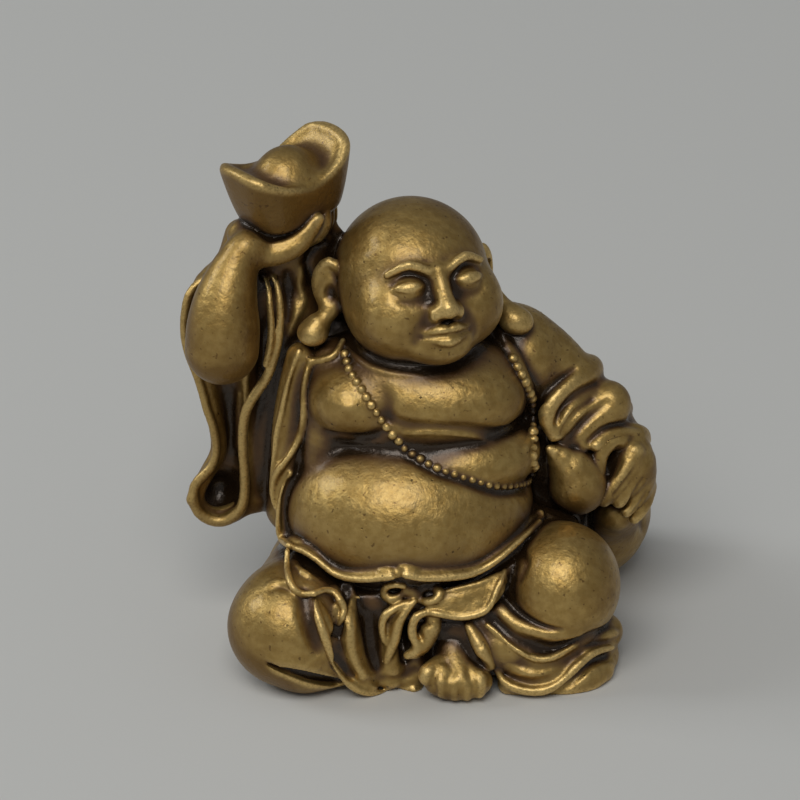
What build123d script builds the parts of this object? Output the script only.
"""Small seated laughing figure in a loose robe, cast in sections that are bonded face to face.

Millimetres, +Z up. The figure faces -Y and its flat underside lies on Z = 0. "Right" and "left" are the
figure's own: its raised right arm is at -X, and the sack under its left hand is at +X.
Every section is built from a few rounded masses. Where two sections meet, the later one in SECTIONS is
carved to fit the earlier one, so they touch and never overlap.
"""

from build123d import *
from copy import deepcopy
from math import atan2, cos, degrees, radians, sin
import os

# Driving dimensions: the main masses, as (centre, half sizes) of ellipsoids.
BELLY = ((-1.5, -6, 20.5), (17, 14.5, 13))
CHEST = ((0, -2, 36), (15, 11, 9.5))
SKULL = ((-0.9, -1, 52.6), (10.4, 11, 10.6))
JOWLS = ((-0.6, -3.2, 48.2), (11.2, 10, 7.6))
BACK = ((0, 5.5, 22), (19, 13, 23))
HIPS = ((0, 2, 5), (21, 17, 11))
RIGHT_KNEE = ((-16.7, -17.5, 8.2), (9, 8.4, 8.4))
LEFT_KNEE = ((19.2, -13.3, 12.2), (8.6, 8.8, 9.2))
SACK = ((21.5, 14.5, 8.8), (10.4, 10, 9.6))
PEACH = ((20.5, -1.2, 21.2), (4.4, 4.3, 4.7))
INGOT_PLACE = Pos(-17.4, 1.8, 63.6) * Rot(0, 0, 32) * Rot(0, -6, 0)

NECK_AXIS = (-0.5, -2)  # where the neck stands in plan
NECKLACE = (  # (heading about the neck's axis in degrees, height) along the line of beads
    (212, 43.3),
    (226, 41.2),
    (236, 38),
    (247, 34.6),
    (265.7, 31.8),
    (283.6, 30.1),
    (298.3, 28.4),
    (314.5, 26.7),
    (330, 26),
    (336, 28),
    (338, 31.4),
    (336, 36),
    (330, 41),
)
BEAD_RADIUS = 0.62
BEAD_PITCH = 1.4
BEAD_LIFT = 0.04  # step by which a bead is raised until it is clear of the torso
WAISTBAND_RADIUS = 1.35
BALL_OVERSIZE = 1.03  # the ball at a limb's end is this much larger than the limb there
ROOM = 200.0  # side of the block below the floor, wider than the whole figure
SMALLEST_KEPT = 0.02  # a loose scrap under this share of its section's volume is dropped


def ellipsoid(centre, half_sizes, turn=(0, 0, 0)):
    """A solid ellipsoid, turned about its own centre by degrees about X, Y and Z."""
    return Pos(*centre) * Rot(*turn) * scale(Sphere(1), by=half_sizes)


def limb(*stations):
    """A rounded limb through stations given as (point, radius): a loft with a ball at each end."""
    points = [Vector(*point) for point, _ in stations]
    rings = []
    for i, (point, radius) in enumerate(stations):
        along = points[min(i + 1, len(points) - 1)] - points[max(i - 1, 0)]
        rings.append(Plane(origin=point, z_dir=along) * Circle(radius))
    ends = (stations[0], stations[-1])
    return [loft(rings), *[Pos(*point) * Sphere(radius * BALL_OVERSIZE) for point, radius in ends]]


def torso():
    """Bare chest and belly, with the two breasts as low mounds."""
    right_breast = ellipsoid((-7, -8, 37.6), (6.6, 5, 5), (0, 0, 20))
    left_breast = ellipsoid((5, -8.6, 38.4), (8.6, 5, 5.4), (0, 0, -12))
    return [ellipsoid(*BELLY), ellipsoid(*CHEST), right_breast, left_breast]


def head():
    """Bald head on a short neck, tipped back and turned to the figure's left, with plain features."""
    turned = Pos(-0.8, -2, 51) * Rot(0, 0, 22) * Rot(-16, 0, 0)
    nose = turned * ellipsoid((0, -10.2, -0.5), (1.6, 1.9, 2.1))
    chin = turned * ellipsoid((0, -8.4, -7), (3.6, 2.6, 2.4))
    lips = turned * ellipsoid((0, -9.9, -3.9), (2.7, 1.1, 1))
    right_brow = turned * ellipsoid((-3.6, -8.8, 2.9), (2.8, 1.2, 0.9), (0, 0, -16))
    left_brow = turned * ellipsoid((3.6, -8.8, 2.9), (2.8, 1.2, 0.9), (0, 0, 16))
    neck = limb(((0, -1, 48), 7), ((0, 0, 41), 7.8))
    return [ellipsoid(*SKULL), ellipsoid(*JOWLS), *neck, nose, chin, lips, right_brow, left_brow]


def right_ear():
    """Long ear with a heavy round lobe, on the figure's right."""
    shell = ellipsoid((-11.8, -1.2, 50.6), (1.6, 2.6, 4.4))
    lobe = ellipsoid((-13.2, -1.6, 43.8), (2.1, 2, 2.5))
    return [shell, lobe, loft([Pos(-12, -1.3, 49) * Circle(1.3), Pos(-13, -1.5, 44) * Circle(1.4)])]


def left_ear():
    """Long ear with a heavy round lobe, on the figure's left."""
    shell = ellipsoid((10.8, 2.4, 50.2), (1.4, 2.4, 4.2))
    lobe = ellipsoid((12.8, 1, 44.4), (2.4, 2.2, 2.3))
    return [shell, lobe, loft([Pos(11.2, 2.2, 49) * Circle(1.3), Pos(12.5, 1.2, 44.4) * Circle(1.4)])]


def robe():
    """Robe over the back, the shoulders and the hips, down to the floor."""
    shoulders = limb(((-12, 3, 38), 7.6), ((0, 3.4, 39.4), 8), ((12, 3, 38.4), 7.8))
    right_side = limb(((-15.6, 0, 39), 4), ((-17.4, -2, 30), 4.2), ((-17.4, -4, 18), 3.8))
    left_side = limb(((14.4, -0.6, 39), 3.6), ((15.6, 1.4, 30), 3.6), ((14, 2.4, 18), 3))
    return [ellipsoid(*BACK), ellipsoid(*HIPS), *shoulders, *right_side, *left_side]


def right_lapel():
    """Open edge of the robe beside the chest and belly, on the figure's right."""
    upper = limb(((-12.4, -7, 43), 1.1), ((-15.4, -7.6, 37.6), 1.2), ((-16.8, -7.8, 31), 1.3))
    lower = limb(((-16.8, -7.8, 31), 1.2), ((-18.6, -8.6, 24), 1.3), ((-18.6, -9.6, 16.6), 1.4))
    return [*upper, *lower]


def left_lapel():
    """Open edge of the robe beside the chest, on the figure's left."""
    upper = ((12.4, -5.4, 43), 1.1), ((15, -6, 38.4), 1.3)
    return limb(*upper, ((15.8, -5.4, 33.4), 1.3), ((15.6, -4.4, 28.6), 1.1))


def raised_forearm():
    """Bare forearm, heavy at the elbow and slim at the wrist."""
    elbow = ((-24.3, -6.5, 44), 6.2), ((-23.8, -5.8, 48.5), 5.8)
    return limb(*elbow, ((-22.2, -3.8, 53.4), 4.3), ((-20.6, -2, 56.6), 3.4))


def raised_hand():
    """Palm turned up under the ingot, with four fingers and a thumb."""
    palm = ellipsoid((-17.4, -1, 57.6), (4.2, 3.6, 1.6), (0, -12, 8))
    fingers = []
    for i in range(4):
        y = -2.4 + 1.9 * i
        fingers += limb(((-15, 0.8 * y, 58), 1.05), ((-12.2, y, 59.2), 1.0), ((-11, y + 0.3, 61.8), 0.85))
    thumb = limb(((-21.6, -0.6, 57.6), 1.3), ((-23, 1.2, 59.4), 1.2), ((-22.6, 2.4, 61.6), 1.0))
    return [palm, *fingers, *thumb]


def ingot():
    """Boat-shaped ingot: an oval hull that sweeps up at both ends, with a dome in the middle."""
    levels = ((-5, 3.9, 2.9), (-2, 5.9, 4.2), (1.5, 8, 5.4), (6.8, 10.6, 6.6))
    hull = loft([Pos(0, 0, z) * Ellipse(long, short) for z, long, short in levels])
    saddle = Pos(0, 0, 17.4) * Rot(90, 0, 0) * Cylinder(16.2, 20)
    trough = ellipsoid((0, 0, 6), (8.6, 4.6, 4.6))
    dome = ellipsoid((0, 0, 1), (4.4, 4.0, 5))
    return [INGOT_PLACE * (hull - saddle - trough + dome)]


def raised_sleeve():
    """Wide sleeve that falls open from the raised wrist to beside the knee."""
    rings = (
        ((-21.6, 2.2, 57.4), 3.4, 2.8),
        ((-24.8, 1.8, 49.5), 6.6, 5.6),
        ((-24.6, 2, 42), 6.8, 6),
        ((-22.8, 2.6, 33), 5.8, 5.2),
        ((-23.4, 2.4, 24), 5.6, 4.8),
        ((-25.2, 1.6, 18), 5.4, 4.2),
    )
    cloth = loft([Pos(*centre) * Ellipse(wide, deep) for centre, wide, deep in rings])
    foot = ellipsoid((-25.2, 1.6, 18), (5.55, 4.3, 4))
    shoulder = limb(((-9, 3, 40), 6.8), ((-16, 2.4, 42.5), 6.4), ((-22.5, 1.6, 43.5), 5.4))
    return [cloth, foot, *shoulder]


def sleeve_mouth():
    """The hollow down the front of the raised sleeve."""
    rings = (
        ((-24.8, -2.4, 49), 4.6, 4.2),
        ((-25.2, -2, 40), 4.6, 4.4),
        ((-24, -1.4, 31), 3.6, 3.8),
        ((-25, -1.6, 20), 3.8, 3),
    )
    return [loft([Pos(*centre) * Ellipse(wide, deep) for centre, wide, deep in rings])]


def left_sleeve():
    """Upper arm and elbow in a sleeve that is pushed up into rolls."""
    arm = limb(((12.5, 3, 39.5), 7), ((17, 4, 36.5), 7.2), ((21.5, 4.4, 31.5), 6.8), ((25, 4.4, 26.6), 5.8))
    rolls = [
        ellipsoid((18.4, 3.4, 34.8), (7.9, 7.6, 2.4), (0, 42, 0)),
        ellipsoid((21.8, 3.6, 30.6), (7.7, 7.4, 2.2), (0, 38, 0)),
        ellipsoid((24.8, 3.6, 26.2), (6.7, 6.8, 2), (0, 34, 0)),
    ]
    return [*arm, *rolls]


def left_hand():
    """Hand closed over the neck of the sack, four fingers down in front and the thumb beside them."""
    masses = [ellipsoid((27, 3.2, 20), (3.8, 4.6, 4.4), (0, 20, 0))]
    for i in range(4):
        knuckle = (25.8 + 1.3 * i, -0.6 + 0.9 * i, 21.4 - 0.8 * i)
        middle = (25.2 + 1.4 * i, -2.2 + 1.1 * i, 18.2 - 0.8 * i)
        tip = (23.2 + 1.5 * i, -1.8 + 1.1 * i, 15.2 - 0.8 * i)
        masses += limb((knuckle, 1.35), (middle, 1.3), (tip, 1.15))
    return [*masses, *limb(((25.4, 0.4, 23.6), 1.5), ((23.9, -1.4, 21), 1.4), ((23.6, -2.2, 18.4), 1.2))]


def peach():
    """Peach-shaped bulb with a short point at its upper end."""
    point = limb(((19.4, -2.2, 23.2), 2.6), ((17.9, -2.9, 25.4), 1.3), ((17.1, -3.2, 26.8), 0.5))
    return [ellipsoid(*PEACH), *point]


def sack():
    """Full cloth sack on the floor behind the left hand, with its neck drawn up to the hand."""
    return [ellipsoid(*SACK), *limb(((23.6, 8, 14), 4.8), ((25.4, 2.6, 15.6), 3))]


def right_leg():
    """Leg folded flat on the floor with its knee out to the side and the calf tucked under."""
    thigh = limb(((-16.5, -14, 8.6), 7.2), ((-12, -5, 9), 7.8), ((-6, 4, 8), 7))
    calf = limb(((-15, -21, 4), 3.8), ((-8, -20.6, 3.8), 3.6), ((0, -17, 3.6), 3.4))
    return [ellipsoid(*RIGHT_KNEE), *thigh, *calf]


def left_leg():
    """Leg with its knee raised."""
    thigh = limb(((18.5, -11, 11.6), 7.4), ((14, -2, 9.5), 7.6), ((7, 5, 8), 7))
    calf = limb(((17.5, -15, 7), 5.6), ((12, -17.5, 6), 4.6), ((7.5, -18.5, 5.2), 3.8))
    return [ellipsoid(*LEFT_KNEE), *thigh, *calf]


def left_trouser_hem():
    """Folds of the left trouser leg, gathered below the knee and spread on the floor."""
    upper = ((8.6, -18.6, 8), 2), ((13, -20.8, 5.2), 2.4), ((19, -20.4, 4.8), 2.5), ((25, -15, 5.8), 2.2)
    lower = ((8.4, -20.6, 4.4), 2.1), ((13, -22, 2.2), 2.5), ((19, -21.2, 1.8), 2.7), ((25.4, -16, 2.4), 2.4)
    return [*limb(*upper), *limb(*lower), ellipsoid((18, -14, 1), (9.2, 8.4, 3.4))]


def left_foot():
    """Bare foot pointing forward from the trouser leg, big toe towards the middle."""
    instep = ellipsoid((5.2, -18.4, 4.6), (3.7, 5.2, 4.4), (24, 0, 0))
    ball = ellipsoid((5.4, -21.4, 2.6), (4.6, 3.4, 3.1))
    big_toe = ellipsoid((1.6, -22.8, 3), (1.7, 2.8, 2.2), (12, 0, 16))
    toes = []
    for i in range(4):
        centre = (3.7 + 1.8 * i, -23.6 + 0.5 * i, 2.2 - 0.15 * i)
        toes.append(ellipsoid(centre, (1.1, 2, 1.9 - 0.1 * i), (10, 0, -6 * i)))
    return [instep, ball, big_toe, *toes]


def waistband():
    """Rolled top edge of the trousers, round the front of the belly."""
    stations = []
    for heading in range(192, 350, 22):
        x = -1.5 + 16.6 * cos(radians(heading))
        y = -6 + 14.1 * sin(radians(heading))
        stations.append(((x, y, 15 + 0.11 * max(x, 0)), WAISTBAND_RADIUS))
    return limb(*stations)


def sash_knot():
    """Small bow: a knot, two loops and two short tails."""
    knot = ellipsoid((-0.2, -21.6, 13.4), (1.2, 1.1, 1.2))
    right_loop = ellipsoid((-2.6, -21.2, 13.8), (2.1, 1.2, 1.3), (0, -8, 0))
    left_loop = ellipsoid((2.3, -21, 13.2), (2.3, 1.3, 1.4), (0, 10, 0))
    right_tail = limb(((-0.6, -21.4, 12.4), 0.9), ((-2.8, -23, 9.6), 0.9), ((-3.6, -24, 6), 0.8))
    left_tail = limb(((0.4, -21.4, 12.4), 0.9), ((-0.4, -23.2, 9.4), 0.9), ((-1.4, -24.2, 5.4), 0.8))
    return [knot, right_loop, left_loop, *right_tail, *left_tail]


def right_sash_flap():
    """Turned-over flap of the sash on the right of the lap."""
    fold = ((-17.4, -14.6, 17.6), 1.7), ((-14, -19.4, 16.2), 2.2), ((-11, -22, 13.4), 1.9), ((-9, -22.8, 10), 1.4)
    return limb(*fold)


def left_sash_flap():
    """Turned-over flap of the sash across the left of the lap."""
    fold = ((12.6, -16, 15.2), 1.5), ((7.8, -20, 12), 2.3), ((3, -22, 9.4), 1.7), ((0.8, -23.2, 6.4), 1.2)
    return limb(*fold)


def lap_drape():
    """Pleated cloth hanging from the waistband to the floor between the legs."""
    masses = limb(((-4, -17, 12), 3.6), ((-5, -19, 7), 4.2), ((-5, -19, 3), 4))
    for i in range(4):
        top = (-10.8 + 3 * i, -19.2 - 0.4 * i, 12)
        middle = (-8.8 + 2.5 * i, -22, 7)
        foot = (-6.8 + 2.2 * i, -22.8, 1.6)
        masses += limb((top, 1.2), (middle, 1.3), (foot, 1.3))
    return masses


# The sections in fitting order: each is carved by the ones above it, and by its own hollow if it has one.
SECTIONS = (
    (torso, None),
    (head, None),
    (robe, None),
    (right_leg, None),
    (left_leg, None),
    (peach, None),
    (sack, None),
    (left_sleeve, None),
    (left_hand, None),
    (ingot, None),
    (raised_hand, None),
    (raised_forearm, None),
    (raised_sleeve, sleeve_mouth),
    (left_foot, None),
    (left_trouser_hem, None),
    (waistband, None),
    (right_lapel, None),
    (left_lapel, None),
    (right_ear, None),
    (left_ear, None),
    (sash_knot, None),
    (left_sash_flap, None),
    (right_sash_flap, None),
    (lap_drape, None),
)


def torso_front(body, heading, height):
    """Where a level ray from the neck's axis, at a heading in degrees, leaves the torso, and the normal."""
    ray = Axis((*NECK_AXIS, height), (cos(radians(heading)), sin(radians(heading)), 0))
    return body.find_intersection_points(ray)[-1]


def bead_necklace(body):
    """Round beads evenly spaced along a line on the torso, each just resting on it."""
    line = Spline(*[torso_front(body, heading, height)[0] for heading, height in NECKLACE])
    count = round(line.length / BEAD_PITCH)
    beads = []
    for i in range(count + 1):
        place = line @ (i / count)
        heading = degrees(atan2(place.Y - NECK_AXIS[1], place.X - NECK_AXIS[0]))
        seat, outward = torso_front(body, heading, place.Z)
        centre = seat + outward * BEAD_RADIUS
        while body.distance_to(Vertex(*centre)) < BEAD_RADIUS:
            centre = centre + outward * BEAD_LIFT
        beads.append(Pos(*centre) * Sphere(BEAD_RADIUS))
    return beads


def meet(box_a, box_b):
    """Whether two bounding boxes meet."""
    pairs = zip(box_a.min, box_a.max, box_b.min, box_b.max)
    return all(low_a < high_b and low_b < high_a for low_a, high_a, low_b, high_b in pairs)


def without_scraps(shape):
    """The solids of a shape that are worth keeping."""
    solids = shape.solids()
    total = sum(solid.volume for solid in solids)
    return [solid for solid in solids if solid.volume > SMALLEST_KEPT * total]


def fitted_sections():
    """All sections by name, each fused from its masses and carved by the masses before it."""
    floor = Pos(0, 0, -ROOM / 2) * Box(ROOM, ROOM, ROOM)
    cutters = [(floor, floor.bounding_box())]
    sections = {}
    for make, make_hollow in SECTIONS:
        masses = make()
        shape = masses[0].fuse(*masses[1:]) if len(masses) > 1 else masses[0]
        box = shape.bounding_box()
        hollows = make_hollow() if make_hollow else []
        for cutter in [cutter for cutter, cutter_box in cutters if meet(box, cutter_box)] + hollows:
            shape = shape - deepcopy(cutter)
        sections[make.__name__] = without_scraps(shape)
        cutters += [(mass, mass.bounding_box()) for mass in masses]
    sections["bead_necklace"] = bead_necklace(deepcopy(sections["torso"][0]))
    return sections


def main():
    os.makedirs("parts", exist_ok=True)
    sections = fitted_sections()
    box = Compound([solid for solids in sections.values() for solid in solids]).bounding_box()
    to_origin = Pos(-box.center().X, -box.center().Y, -box.min.Z)
    for name, solids in sections.items():
        export_step(to_origin * Compound(solids), f"parts/{name}.step")


main()
